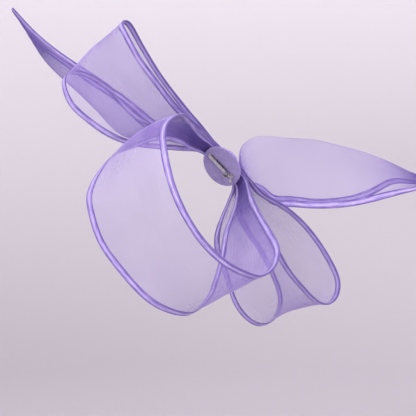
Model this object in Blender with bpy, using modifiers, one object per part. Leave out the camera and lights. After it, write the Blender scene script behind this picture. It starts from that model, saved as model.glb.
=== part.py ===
"""Fascinator headpiece: three wired organza ribbon loops and two ribbon tails, gathered under one knot
on a small covered base, which a sprung clip holds to the hair.

Frame: origin at the middle of the base's felt face, at the back of the crown; +X is the wearer's left,
-Y the way the wearer faces and +Z up. Lengths are written in millimetres and turned to metres once."""

import math

import bmesh
import bpy
import numpy as np
from mathutils import Matrix, Vector

MM = 0.001

# The base lies on the crown, its outer side facing back and up.
BASE_TILT = 28.0  # degrees that the base's outward direction rises above level
KNOT_TURN = 0.6  # sine of the turn of the knot's axis away from straight up the head
BASE_RADIUS = 30.0
FELT = (0.0, 1.4)  # each layer's two faces, measured outwards from the felt face
DISC = (1.7, 2.9)
COVER = (3.2, 3.8)
COVER_WALL = 0.4
COVER_BEVEL = 0.8
COVER_CORNER = 0.3
FELT_OVERHANG = 0.4
RIM_WIRE_INSET = 1.3
AIR_GAP = 0.3  # between pieces that lie on each other
RIM_WIRE_RADIUS = 0.55
KNOT_LENGTH = 18.0
KNOT_WALL = 1.2
KNOT_SPACE = (5.3, 16.8)  # the inner faces of the knot, measured outwards
KNOT_HALF_WIDTH = 16.0
KNOT_CORNER = 4.0
KNOT_SWELL = 0.5  # how much fuller its middle is

# The ribbon.
SHEET_THICKNESS = 0.5
BINDING_WIDTH = 9.0
BINDING_CLOTH = 0.4
NARROW_BINDING = 4.0  # where a ribbon's end comes to a point
BINDING_OFFSET = 1.0  # from the sheet's middle to the middle of the binding's cloth
FOLD_DEPTH = 1.2
FOLD_BACK = 0.2  # from the ribbon's edge to the inside of the binding's fold
BINDING_SHARE = 0.2  # the most of the cloth's true width that a binding covers
CHORD_SHARE = 0.25  # and the most of the straight distance between the edges
BESIDE = 0.25  # the share of the width that a binding points at
SHEET_EXIT = 0.5  # how far past the binding the sheet still lies straight
WIRE_INSET = 1.35
WIRE_RADIUS = 0.3
SHEET_INSET = 2.2  # where the sheet's raw edge lies inside its binding
GATHER_HALF_WIDTH = 12.0
FIRST_LAYER = 6.8  # height of the lowest gathered end over the felt face
LAYER_STEP = 2.8
NECK_PLACES = (1.5, 10.0, 19.0)  # how far along the knot a gathered end is held straight
SHEET_COLUMNS = 4  # strips of the sheet between its two bindings
STATION_LENGTH = 50.0  # the longest step between two stations of a ribbon
STATION_TURN = 24.0  # degrees of bend that also make a step

# The clip, in the base's own frame: x along the knot, y across it, z outwards.
PIN_PLACE = (-12.0, -5.2)
PIN_RADIUS = 0.8
PIN_HEAD_RADIUS = 1.4
PIN_HALF_LENGTH = 4.9
PIN_SHANK_HALF = 4.35
PIN_HOLE_RADIUS = 1.15
JAW_METAL = 0.7
LUG_ROOT = 0.1  # how far a lug runs into its jaw
FIXED_JAW = (-22.0, 24.0)
FIXED_HALF_WIDTH = 4.0
FIXED_FACE = -0.5  # the fixed jaw's face on the hair side
MOVING_HALF_WIDTH = 2.9
MOVING_LINE = ((24.0, -1.15), (10.0, -2.2), (-8.0, -2.6), (-12.0, -2.6), (-16.0, -3.2), (-20.0, -5.5), (-26.0, -9.0))
LUG_REACH = 3.0
LUG_END = -7.0
WINDOW = (-20.9, -14.3, 2.1)  # the moving jaw's slot for the spring: two ends and half a width
CHANNEL_HALF_WIDTH = 6.0
CHANNEL_DEPTH = 0.5
COIL_RADIUS = 1.4
COIL_WIRE_RADIUS = 0.25
COIL_TURNS = 4
COIL_HALF_LENGTH = 1.5
TACK_PLACES = (("front", 13.0), ("middle", 4.0), ("rear", -5.5))
TACK_THREAD_RADIUS = 0.25
TACK_REACH = 0.75  # past the fixed jaw's side
TACK_DROP = 0.6  # below the fixed jaw's face
TACK_ROOT = 0.15

COLOURS = {
    "organza": (0.56, 0.48, 0.80, 1.0),
    "binding": (0.47, 0.38, 0.74, 1.0),
    "wire": (0.75, 0.73, 0.76, 1.0),
    "felt": (0.42, 0.34, 0.62, 1.0),
    "buckram": (0.80, 0.78, 0.74, 1.0),
    "metal": (0.70, 0.70, 0.72, 1.0),
    "thread": (0.50, 0.42, 0.74, 1.0),
}


def base_axes():
    """Unit directions along the knot, across it and outwards from the head."""
    tilt = math.radians(BASE_TILT)
    up_head = Vector((0.0, -math.sin(tilt), math.cos(tilt)))
    out = Vector((0.0, math.cos(tilt), math.sin(tilt)))
    side = Vector((1.0, 0.0, 0.0))
    cosine = math.sqrt(1.0 - KNOT_TURN**2)
    along = cosine * up_head - KNOT_TURN * side
    return along, out.cross(along), out


ALONG, ACROSS, OUT = (np.array(axis) for axis in base_axes())


def near_base(along, across, out):
    """A point given in the base's own directions, in millimetres."""
    return tuple(along * ALONG + across * ACROSS + out * OUT)


def gathered_end(side, layer, inwards):
    """Three straight cross-threads where a ribbon's end is held under the knot."""
    height = FIRST_LAYER + layer * LAYER_STEP
    places = NECK_PLACES[::-1] if inwards else NECK_PLACES
    return [
        (near_base(side * place, -GATHER_HALF_WIDTH, height), near_base(side * place, GATHER_HALF_WIDTH, height))
        for place in places
    ]


# Each ribbon is a list of cross-threads in order along it, in millimetres: the point on its right edge (the
# wearer's right), the point on its left edge and, where it is folded lengthwise, how far its middle stands
# off the straight line between them.
LOOP_FRONT = gathered_end(1, 0, False) + [
    (near_base(33, -14, 6.5), near_base(33, 14, 6.5)),
    (near_base(50, -14, -5), near_base(50, 21, -4)),
    ((-45, -46, 34), (-5, -57, 60), (-1, 0, 2)),
    ((-55, -79, 35), (7, -91, 68), (-4, -2, 8)),
    ((-64, -109, 25), (17, -124, 61), (-5, -5, 9)),
    ((-75, -143, 12), (24, -149, 43), (-4, -7, 7)),
    ((-80, -187, -37), (56, -174, -17), (0, -3, 1)),
    ((-72, -191, -71), (76, -177, -54)),
    ((-56, -188, -108), (94, -170, -86)),
    ((-26, -180, -145), (107, -160, -106)),
    ((5, -163, -180), (121, -147, -123)),
    ((28, -138, -196), (135, -128, -136)),
    ((36, -114, -197), (144, -106, -143)),
    ((38, -84, -179), (146, -77, -132)),
    ((31, -60, -159), (132, -47, -111)),
    ((20, -30, -127), (102, -22, -89)),
    ((10, -7, -92), (69, -4, -62)),
    (near_base(-50, -26, -9), near_base(-54, 14, -7)),
    (near_base(-34, -14, 6.2), near_base(-34, 14, 6.5)),
] + gathered_end(-1, 0, True)

LOOP_UPPER = gathered_end(1, 1, False) + [
    (near_base(34, -14, 9.4), near_base(34, 14, 10.2)),
    ((-62, -20, 24), (-15, -22, 52)),
    ((-107, -65, 30), (-16, -41, 62)),
    ((-134, -90, 43), (-20, -74, 84)),
    ((-164, -105, 66), (-30, -107, 119)),
    ((-186, -114, 88), (-42, -124, 146)),
    ((-201, -114, 115), (-58, -132, 178)),
    ((-208, -104, 132), (-71, -128, 195), (0, 0, 2)),
    ((-208, -87, 138), (-75, -108, 198), (-2, -1, 5)),
    ((-195, -68, 133), (-73, -84, 170), (-2, 0, 4)),
    ((-169, -48, 112), (-58, -61, 128)),
    ((-138, -39, 89), (-38, -32, 85)),
    (near_base(92, -38, 4), near_base(64, 20, 12)),
    (near_base(46, -17, 12), near_base(44, 15, 14)),
] + gathered_end(1, 2, True)

LOOP_LOWER = gathered_end(-1, 1, False) + [
    (near_base(-29, -20, 9.8), near_base(-31, 12, 9.9)),
    (near_base(-38, -47, 7), near_base(-40, 8, 10)),
    ((-41, 36, -102), (40, 23, -47)),
    ((-43, 68, -166), (75, 34, -116)),
    ((-37, 80, -202), (89, 44, -146)),
    ((-26, 97, -226), (102, 62, -171), (0, 0, 4)),
    ((-15, 115, -235), (109, 85, -190), (-1, 0, 6)),
    ((-8, 136, -228), (115, 105, -194), (-1, -1, 6)),
    ((-7, 152, -204), (118, 123, -181), (0, -1, 3)),
    ((-15, 156, -179), (113, 132, -157)),
    ((-31, 133, -123), (79, 115, -92)),
    ((-35, 110, -99), (56, 89, -59)),
    ((-30, 75, -67), (33, 59, -37)),
    (near_base(-36, -32, 17), near_base(-38, 8, 16.5)),
] + gathered_end(-1, 2, True)

TAIL_LEFT = gathered_end(1, 3, False) + [
    (near_base(34, -15, 17.5), near_base(34, 9, 19)),
    (near_base(54, -24, 22), near_base(52, 4, 23), near_base(0, 1, -3)),
    (near_base(84, -44, 33), near_base(83, -14, 26), near_base(1, -3, -12)),
    ((-143, 15, 65), (-131, -14, 74), (-22, -20, -24)),
    ((-200, 3, 114), (-186, -28, 124), (-27, -16, -27)),
    ((-226, -12, 133), (-212, -41, 144), (-24, -14, -22)),
    ((-265, -52, 169), (-251, -69, 176), (-18, -12, -11)),
    ((-288, -79, 196), (-271, -96, 202), (-7, -6, -6)),
    ((-306, -110, 237), (-290, -128, 238), (-1, -1, -3)),
]

TAIL_RIGHT = gathered_end(-1, 3, False) + [
    (near_base(-29, -15, 19), near_base(-30, 8, 18.5), near_base(3, 0, 2)),
    ((3, 51, -30), (23, 35, -20), (-14, 2, 33)),
    ((2, 71, -26), (18, 53, -34), (-22, 1, 62)),
    ((6, 89, -33), (26, 67, -44), (-22, 5, 84)),
    ((14, 106, -46), (30, 86, -54), (-13, -5, 98)),
    ((31, 141, -51), (54, 106, -57), (-5, -4, 99)),
    ((57, 169, -54), (80, 131, -59), (-5, -4, 100)),
    ((86, 192, -51), (108, 155, -57), (-5, -4, 89)),
    ((119, 212, -40), (137, 181, -50), (-5, -4, 68)),
    ((150, 226, -22), (166, 203, -40), (-3, -3, 38)),
    ((180, 237, -23), (191, 222, -32), (-1, -1, 19)),
    ((209, 257, -20), (217, 241, -23), (-1, -1, 10)),
]

RIBBONS = {
    "loop_front": LOOP_FRONT,
    "loop_upper": LOOP_UPPER,
    "loop_lower": LOOP_LOWER,
    "tail_left": TAIL_LEFT,
    "tail_right": TAIL_RIGHT,
}


# ---- objects and materials ----


def clear_scene():
    for thing in list(bpy.data.objects):
        bpy.data.objects.remove(thing)


def new_collection(name):
    made = bpy.data.collections.new(name)
    bpy.context.scene.collection.children.link(made)
    return made


def material(name, colour, roughness, metallic=0.0):
    made = bpy.data.materials.new(name)
    made.use_nodes = True
    shader = made.node_tree.nodes["Principled BSDF"]
    shader.inputs["Base Color"].default_value = COLOURS[colour]
    shader.inputs["Roughness"].default_value = roughness
    shader.inputs["Metallic"].default_value = metallic
    return made


def mesh_object(name, verts, faces, finish, collection):
    """An object from points in millimetres and its faces."""
    mesh = bpy.data.meshes.new(name)
    mesh.from_pydata([tuple(float(c) * MM for c in v) for v in verts], [], faces)
    made = bpy.data.objects.new(name, mesh)
    mesh.materials.append(finish)
    collection.objects.link(made)
    return made


def wire_object(name, points, radius, finish, collection, sides=0):
    """A round wire with closed ends through points given in millimetres."""
    curve = bpy.data.curves.new(name, "CURVE")
    curve.dimensions = "3D"
    curve.bevel_depth = radius * MM
    curve.bevel_resolution = sides
    curve.use_fill_caps = True
    spline = curve.splines.new("POLY")
    spline.points.add(len(points) - 1)
    for point, place in zip(spline.points, points):
        point.co = (place[0] * MM, place[1] * MM, place[2] * MM, 1.0)
    made = bpy.data.objects.new(name, curve)
    curve.materials.append(finish)
    collection.objects.link(made)
    return made


def give_thickness(thing, thickness, offset=0.0):
    """Turns an open surface into cloth: offset 0 is centred on it, 1 is outwards."""
    wall = thing.modifiers.new("thickness", "SOLIDIFY")
    wall.thickness = thickness * MM
    wall.offset = offset
    wall.use_even_offset = True
    wall.use_rim = True


def shade_round(thing, angle=35.0):
    thing.data.shade_smooth()
    thing.data.set_sharp_from_angle(angle=math.radians(angle))


# ---- ribbons ----


def smooth_through(points, places, wanted):
    """A smooth curve through points that stand at the given places along it, read at the wanted places."""
    gaps = np.diff(places)[:, None]
    steps = np.diff(points, axis=0) / gaps
    inner = (steps[:-1] * gaps[1:] + steps[1:] * gaps[:-1]) / (gaps[1:] + gaps[:-1])
    slopes = np.vstack([steps[:1], inner, steps[-1:]])
    k = np.clip(np.searchsorted(places, wanted, side="right") - 1, 0, len(gaps) - 1)
    gap = gaps[k]
    t = (wanted[:, None] - places[k][:, None]) / gap
    return (
        points[k] * (1 + 2 * t) * (1 - t) ** 2
        + points[k + 1] * t**2 * (3 - 2 * t)
        + slopes[k] * gap * t * (1 - t) ** 2
        - slopes[k + 1] * gap * t**2 * (1 - t)
    )


def unit(vectors):
    return vectors / np.linalg.norm(vectors, axis=-1, keepdims=True)


def section(right, left, fold, share):
    """Points at one share of the way across: the straight line plus the fold's parabola."""
    return right + (left - right) * share + fold * 4 * share * (1 - share)


def edge_frame(edge, beside, flip):
    """Directions along an edge: into the cloth, square to the edge, and the cloth's normal."""
    run = unit(np.gradient(edge, axis=0))
    into = beside - edge
    into = unit(into - run * (into * run).sum(1, keepdims=True))
    normal = np.cross(run, into)
    return into, -normal if flip else normal


def turning(directions):
    """Degrees between each direction and the next."""
    cosine = (directions[1:] * directions[:-1]).sum(1)
    return np.degrees(np.arccos(np.clip(cosine, -1, 1)))


def ribbon_frames(threads):
    """What the sheet, the bindings and the wires of one ribbon share. Each entry has one row for every
    station; stations are placed by how far the ribbon has run, bent and twisted."""
    lines = [np.array([thread[k] if len(thread) > k else (0, 0, 0) for thread in threads], float) for k in range(3)]
    middle = (lines[0] + lines[1]) / 2
    places = np.concatenate([[0], np.cumsum(np.linalg.norm(np.diff(middle, axis=0), axis=1) ** 0.5)])
    fine = np.linspace(0, places[-1], 12 * len(threads))
    right, left, fold = (smooth_through(line, places, fine) for line in lines)
    into_right, normal_right = edge_frame(right, section(right, left, fold, BESIDE), False)
    into_left, normal_left = edge_frame(left, section(right, left, fold, 1 - BESIDE), True)
    run = np.max([np.linalg.norm(np.diff(edge, axis=0), axis=1) for edge in (right, left)], axis=0)
    bend = np.max([turning(d) for d in (into_right, normal_right, into_left, normal_left)], axis=0)
    effort = np.concatenate([[0], np.cumsum(run / STATION_LENGTH + bend / STATION_TURN)])
    wanted = np.linspace(0, effort[-1], math.ceil(effort[-1]) + 1)
    fine_values = {
        "right": right,
        "left": left,
        "fold": fold,
        "into_right": into_right,
        "into_left": into_left,
        "normal_right": normal_right,
        "normal_left": normal_left,
    }
    made = {
        name: np.column_stack([np.interp(wanted, effort, values[:, axis]) for axis in range(3)])
        for name, values in fine_values.items()
    }
    for name in ("into_right", "into_left", "normal_right", "normal_left"):
        made[name] = unit(made[name])
    across = made["left"] - made["right"]
    folded = 2 * np.linalg.norm(made["fold"], axis=1)
    square_right = np.maximum((across * made["into_right"]).sum(1), 0) + folded
    square_left = np.maximum(-(across * made["into_left"]).sum(1), 0) + folded
    squarest = np.minimum(square_right, square_left)
    fitting = np.minimum(BINDING_SHARE * squarest, CHORD_SHARE * np.linalg.norm(across, axis=1))
    made["binding"] = np.clip(fitting, NARROW_BINDING, BINDING_WIDTH)[:, None]
    made["clear_right"] = (made["binding"] + SHEET_EXIT) / square_right[:, None]
    made["clear_left"] = (made["binding"] + SHEET_EXIT) / square_left[:, None]
    return made


def panel_columns(frames):
    """Columns of the sheet from one raw edge to the other, straight inside the bindings."""
    right, left, into_right, into_left = (frames[key] for key in ("right", "left", "into_right", "into_left"))
    reach = frames["binding"] + SHEET_EXIT
    columns = [right + into_right * SHEET_INSET, right + into_right * reach]
    for k in range(1, SHEET_COLUMNS):
        s = k / SHEET_COLUMNS
        share = frames["clear_right"] * (1 - s) + (1 - frames["clear_left"]) * s
        columns.append(section(right, left, frames["fold"], share))
    return columns + [left + into_left * reach, left + into_left * SHEET_INSET]


def loft(name, grid, finish, collection):
    """A surface of triangles over a grid of points, stations by columns. Every loft of a ribbon splits its
    squares the same way, so that cloth, binding and wire bend together."""
    rows, columns = grid.shape[:2]
    faces = []
    for i in range(rows - 1):
        for j in range(columns - 1):
            a, b = i * columns + j, i * columns + j + 1
            c, d = b + columns, a + columns
            faces += [(a, b, c), (a, c, d)]
    return mesh_object(name, grid.reshape(-1, 3), faces, finish, collection)


def make_panel(name, frames, finish, collection):
    """The organza, whose raw edges lie inside the bindings."""
    panel = loft(name + "_panel", np.stack(panel_columns(frames), axis=1), finish, collection)
    give_thickness(panel, SHEET_THICKNESS)
    return panel


def make_binding(name, side, frames, finish, collection):
    """A strip folded over the panel's edge, open towards the middle of the ribbon."""
    edge, into, normal, reach = (frames[key] for key in (side, "into_" + side, "normal_" + side, "binding"))
    rise = normal * BINDING_OFFSET
    columns = [
        edge + into * reach + rise,
        edge + into * FOLD_DEPTH + rise,
        edge + into * FOLD_BACK,
        edge + into * FOLD_DEPTH - rise,
        edge + into * reach - rise,
    ]
    if side == "left":
        columns.reverse()
    binding = loft(f"{name}_{side}_binding", np.stack(columns, axis=1), finish, collection)
    give_thickness(binding, BINDING_CLOTH)
    return binding


def make_edge_wire(name, side, frames, finish, collection):
    middle = frames[side] + frames["into_" + side] * WIRE_INSET
    return wire_object(f"{name}_{side}_wire", middle, WIRE_RADIUS, finish, collection)


def make_ribbon(name, threads, finishes, collection):
    frames = ribbon_frames(threads)
    make_panel(name, frames, finishes["organza"], collection)
    for side in ("right", "left"):
        make_binding(name, side, frames, finishes["binding"], collection)
        make_edge_wire(name, side, frames, finishes["wire"], collection)


# ---- base ----


def place_in_base(thing, seat):
    """Hangs a piece built in the base's own directions on the base's empty."""
    thing.parent = seat
    return thing


def flat_disc(name, radius, faces_at, finish, collection, segments=48):
    mesh = bpy.data.meshes.new(name)
    shape = bmesh.new()
    bmesh.ops.create_cone(
        shape,
        cap_ends=True,
        segments=segments,
        radius1=radius * MM,
        radius2=radius * MM,
        depth=(faces_at[1] - faces_at[0]) * MM,
        matrix=Matrix.Translation((0, 0, (faces_at[0] + faces_at[1]) / 2 * MM)),
    )
    shape.to_mesh(mesh)
    shape.free()
    made = bpy.data.objects.new(name, mesh)
    mesh.materials.append(finish)
    collection.objects.link(made)
    return made


def turned(name, profile, finish, collection, steps=32):
    """A profile of (radius, height) turned round the outward axis."""
    edges = [(i, i + 1) for i in range(len(profile) - 1)]
    mesh = bpy.data.meshes.new(name)
    mesh.from_pydata([(r * MM, 0.0, z * MM) for r, z in profile], edges, [])
    made = bpy.data.objects.new(name, mesh)
    mesh.materials.append(finish)
    collection.objects.link(made)
    turn = made.modifiers.new("turn", "SCREW")
    turn.steps = steps
    turn.render_steps = steps
    turn.use_merge_vertices = True
    turn.merge_threshold = 0.00001
    return made


def box_cutter(name, low, high, collection):
    mesh = bpy.data.meshes.new(name)
    shape = bmesh.new()
    size = [(b - a) * MM for a, b in zip(low, high)]
    middle = [(a + b) / 2 * MM for a, b in zip(low, high)]
    bmesh.ops.create_cube(shape, size=1.0, matrix=Matrix.Translation(middle) @ Matrix.Diagonal((*size, 1.0)))
    shape.to_mesh(mesh)
    shape.free()
    made = bpy.data.objects.new(name, mesh)
    made.hide_render = True
    made.display_type = "WIRE"
    collection.objects.link(made)
    return made


def cut(thing, cutter):
    step = thing.modifiers.new("cut", "BOOLEAN")
    step.operation = "DIFFERENCE"
    step.object = cutter


def join_with(thing, other):
    step = thing.modifiers.new("join", "BOOLEAN")
    step.operation = "UNION"
    step.object = other


def make_base(finishes, collection, cutters, seat):
    felt = flat_disc("base_lining", BASE_RADIUS + FELT_OVERHANG, FELT, finishes["felt"], collection)
    channel = box_cutter(
        "lining_channel",
        (-2 * BASE_RADIUS, -CHANNEL_HALF_WIDTH, -1.0),
        (2 * BASE_RADIUS, CHANNEL_HALF_WIDTH, CHANNEL_DEPTH),
        cutters,
    )
    place_in_base(channel, seat)
    cut(felt, channel)
    place_in_base(felt, seat)
    rim_centre = BASE_RADIUS - RIM_WIRE_INSET
    disc = flat_disc("base_disc", rim_centre - RIM_WIRE_RADIUS - AIR_GAP, DISC, finishes["buckram"], collection)
    place_in_base(disc, seat)
    height = (DISC[0] + DISC[1]) / 2
    ring = [
        (rim_centre + RIM_WIRE_RADIUS * math.sin(a), height + RIM_WIRE_RADIUS * math.cos(a))
        for a in (2 * math.pi * k / 6 for k in range(7))
    ]
    place_in_base(turned("base_rim_wire", ring, finishes["wire"], collection), seat)
    inner = BASE_RADIUS - COVER_WALL
    cover = turned(
        "base_cover",
        [
            (0.0, COVER[1]),
            (BASE_RADIUS - COVER_BEVEL, COVER[1]),
            (BASE_RADIUS, COVER[1] - COVER_BEVEL),
            (BASE_RADIUS, DISC[0]),
            (inner, DISC[0]),
            (inner, COVER[0] - COVER_CORNER),
            (inner - COVER_CORNER, COVER[0]),
            (0.0, COVER[0]),
        ],
        finishes["binding"],
        collection,
    )
    place_in_base(cover, seat)
    for piece in (disc, felt):
        shade_round(piece)


def rounded_rectangle(half_width, low, high, corner, steps=5):
    """Points of a rounded rectangle across the knot, anticlockwise seen from the positive end."""
    points = []
    for y_sign, z_sign, first in ((1, 1, 0), (-1, 1, 90), (-1, -1, 180), (1, -1, 270)):
        cy = y_sign * (half_width - corner)
        cz = (high - corner) if z_sign > 0 else (low + corner)
        for k in range(steps + 1):
            angle = math.radians(first + 90 * k / steps)
            points.append((cy + corner * math.cos(angle), cz + corner * math.sin(angle)))
    return points


def make_knot(finish, collection, seat):
    """The band that wraps the gathered ends, a little fuller at its middle."""
    rings = ((-0.5, 0.0), (-0.25, KNOT_SWELL), (0.25, KNOT_SWELL), (0.5, 0.0))
    verts, faces = [], []
    for share, swell in rings:
        outline = rounded_rectangle(KNOT_HALF_WIDTH + swell, KNOT_SPACE[0], KNOT_SPACE[1] + swell, KNOT_CORNER)
        verts += [(share * KNOT_LENGTH, y, z) for y, z in outline]
    count = len(verts) // len(rings)
    for i in range(len(rings) - 1):
        for j in range(count):
            a, b = i * count + j, i * count + (j + 1) % count
            faces.append((a, b, b + count, a + count))
    knot = mesh_object("knot_wrap", verts, faces, finish, collection)
    give_thickness(knot, KNOT_WALL, 1.0)
    place_in_base(knot, seat)


# ---- clip ----


def strip_along(name, line, half_width, thickness, finish, collection):
    """A bent metal strip from its middle line in x and z, thickness centred on it."""
    verts = [(x, y, z) for x, z in line for y in (-half_width, half_width)]
    faces = [(2 * i, 2 * i + 2, 2 * i + 3, 2 * i + 1) for i in range(len(line) - 1)]
    strip = mesh_object(name, verts, faces, finish, collection)
    give_thickness(strip, thickness)
    return strip


def add_lugs(strip, half_width, top, cutters, seat):
    """Two ears that reach past the pin, joined on and drilled for it."""
    px, pz = PIN_PLACE
    for side in (-1, 1):
        faces = sorted((side * half_width, side * (half_width - JAW_METAL)))
        lug = box_cutter(
            f"{strip.name}_lug_{side}",
            (px - LUG_REACH, faces[0], LUG_END),
            (px + LUG_REACH, faces[1], top),
            cutters,
        )
        place_in_base(lug, seat)
        join_with(strip, lug)
    mesh = bpy.data.meshes.new(strip.name + "_hole")
    shape = bmesh.new()
    bmesh.ops.create_cone(
        shape,
        cap_ends=True,
        segments=16,
        radius1=PIN_HOLE_RADIUS * MM,
        radius2=PIN_HOLE_RADIUS * MM,
        depth=30 * MM,
        matrix=Matrix.Translation((px * MM, 0, pz * MM)) @ Matrix.Rotation(math.pi / 2, 4, "X"),
    )
    shape.to_mesh(mesh)
    shape.free()
    hole = bpy.data.objects.new(strip.name + "_hole", mesh)
    hole.hide_render = True
    hole.display_type = "WIRE"
    cutters.objects.link(hole)
    place_in_base(hole, seat)
    cut(strip, hole)


def make_clip(finishes, collection, cutters, seat):
    middle = FIXED_FACE + JAW_METAL / 2
    fixed = strip_along(
        "clip_fixed_jaw",
        [(FIXED_JAW[0], middle), (FIXED_JAW[1], middle)],
        FIXED_HALF_WIDTH,
        JAW_METAL,
        finishes["metal"],
        collection,
    )
    add_lugs(fixed, FIXED_HALF_WIDTH, FIXED_FACE + LUG_ROOT, cutters, seat)
    place_in_base(fixed, seat)
    moving = strip_along("clip_moving_jaw", MOVING_LINE, MOVING_HALF_WIDTH, JAW_METAL, finishes["metal"], collection)
    add_lugs(moving, MOVING_HALF_WIDTH, MOVING_LINE[3][1], cutters, seat)
    window = box_cutter("moving_jaw_window", (WINDOW[0], -WINDOW[2], -8.0), (WINDOW[1], WINDOW[2], -1.0), cutters)
    place_in_base(window, seat)
    cut(moving, window)
    place_in_base(moving, seat)
    pin = turned(
        "clip_pin",
        [
            (0.0, PIN_HALF_LENGTH),
            (PIN_HEAD_RADIUS, PIN_HALF_LENGTH),
            (PIN_HEAD_RADIUS, PIN_SHANK_HALF),
            (PIN_RADIUS, PIN_SHANK_HALF),
            (PIN_RADIUS, -PIN_SHANK_HALF),
            (PIN_HEAD_RADIUS, -PIN_SHANK_HALF),
            (PIN_HEAD_RADIUS, -PIN_HALF_LENGTH),
            (0.0, -PIN_HALF_LENGTH),
        ],
        finishes["metal"],
        collection,
        steps=14,
    )
    pin.location = (PIN_PLACE[0] * MM, 0.0, PIN_PLACE[1] * MM)
    pin.rotation_euler = (math.pi / 2, 0.0, 0.0)
    place_in_base(pin, seat)
    spring = wire_object("clip_spring", spring_route(), COIL_WIRE_RADIUS, finishes["wire"], collection)
    place_in_base(spring, seat)


def spring_route():
    """A coil round the pin with one leg on the fixed jaw and one on the moving jaw's lever."""
    px, pz = PIN_PLACE
    per_turn = 10
    start, sweep = math.radians(150), COIL_TURNS * 2 * math.pi + math.radians(30)
    count = COIL_TURNS * per_turn + 1
    coil = []
    for k in range(count + 1):
        share = k / count
        angle = start - sweep * share
        coil.append(
            (
                px + COIL_RADIUS * math.cos(angle),
                COIL_HALF_LENGTH * (1 - 2 * share),
                pz + COIL_RADIUS * math.sin(angle),
            )
        )
    leg_up = [(-19.2, COIL_HALF_LENGTH, -1.25), (-16.5, COIL_HALF_LENGTH, -2.6)]
    leg_down = [(-17.0, -COIL_HALF_LENGTH, -4.6), (-21.6, -COIL_HALF_LENGTH, -5.3)]
    return leg_up + coil + leg_down


def make_tacks(finish, collection, seat):
    """Thread over the fixed jaw into the lining, three places along it."""
    reach = FIXED_HALF_WIDTH + TACK_REACH
    low = FIXED_FACE - TACK_DROP
    for place, x in TACK_PLACES:
        route = [(x, -reach, TACK_ROOT), (x, -reach, low), (x, reach, low), (x, reach, TACK_ROOT)]
        tack = wire_object(f"clip_tack_{place}", route, TACK_THREAD_RADIUS, finish, collection, 1)
        place_in_base(tack, seat)


def base_seat(collection):
    """The empty that carries the base: x along the knot, y across it, z outwards."""
    seat = bpy.data.objects.new("base_seat", None)
    along, across, out = base_axes()
    seat.matrix_world = Matrix((along, across, out)).transposed().to_4x4()
    collection.objects.link(seat)
    return seat


def main():
    clear_scene()
    parts = new_collection("fascinator_headpiece")
    cutters = new_collection("cutters")
    finishes = {
        "organza": material("organza", "organza", 0.45),
        "binding": material("bias_binding", "binding", 0.5),
        "wire": material("steel_wire", "wire", 0.35, 0.9),
        "felt": material("wool_felt", "felt", 0.95),
        "buckram": material("buckram", "buckram", 0.9),
        "metal": material("plated_steel", "metal", 0.25, 1.0),
        "thread": material("sewing_thread", "thread", 0.7),
    }
    for name, threads in RIBBONS.items():
        make_ribbon(name, threads, finishes, parts)
    seat = base_seat(cutters)
    make_base(finishes, parts, cutters, seat)
    make_knot(finishes["organza"], parts, seat)
    make_clip(finishes, parts, cutters, seat)
    make_tacks(finishes["thread"], parts, seat)


main()
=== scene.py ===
# Lilac ribbon fascinator: wired organza loops and folded tails on a small clipped base.
# Every length is in millimetres until a mesh is made. +X is the wearer's left, -Y the front, +Z up.
import math

import bmesh
import bpy
import numpy as np
from mathutils import Matrix


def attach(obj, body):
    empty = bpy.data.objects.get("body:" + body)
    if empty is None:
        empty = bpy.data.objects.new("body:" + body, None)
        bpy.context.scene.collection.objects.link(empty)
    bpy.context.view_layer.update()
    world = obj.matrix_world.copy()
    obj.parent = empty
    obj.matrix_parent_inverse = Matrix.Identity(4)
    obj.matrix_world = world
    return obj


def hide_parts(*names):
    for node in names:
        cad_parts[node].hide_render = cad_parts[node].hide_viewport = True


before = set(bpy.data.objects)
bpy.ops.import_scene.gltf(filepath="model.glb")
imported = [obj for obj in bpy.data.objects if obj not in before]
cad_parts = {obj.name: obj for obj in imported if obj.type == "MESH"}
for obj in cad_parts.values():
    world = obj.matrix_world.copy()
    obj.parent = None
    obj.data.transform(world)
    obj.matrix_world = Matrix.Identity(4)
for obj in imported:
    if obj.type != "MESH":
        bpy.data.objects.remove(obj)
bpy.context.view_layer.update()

mm = 0.001
bodyName = "headpiece"

# ---- small tools ----


def sRgb(hexCode):  # hex colour to linear red, green, blue, alpha
    parts = [int(hexCode[i : i + 2], 16) / 255 for i in (1, 3, 5)]
    return [c / 12.92 if c <= 0.04045 else ((c + 0.055) / 1.055) ** 2.4 for c in parts] + [1.0]


def unit(v):  # arrows of length one
    return v / np.maximum(np.linalg.norm(v, axis=-1, keepdims=True), 1e-9)


def smoothStep(x, low, high):  # 0 below low, 1 above high, easy at both ends
    t = np.clip((x - low) / (high - low), 0, 1)
    return t * t * (3 - 2 * t)


def softened(values, spread):  # running average with a bell-shaped weight, ends held
    reach = int(3 * spread)
    weight = np.exp(-0.5 * (np.arange(-reach, reach + 1) / spread) ** 2)
    padded = np.pad(values, ((reach, reach), (0, 0)), mode="edge")
    eased = [np.convolve(column, weight / weight.sum(), "valid") for column in padded.T]
    return np.column_stack(eased)


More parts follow.
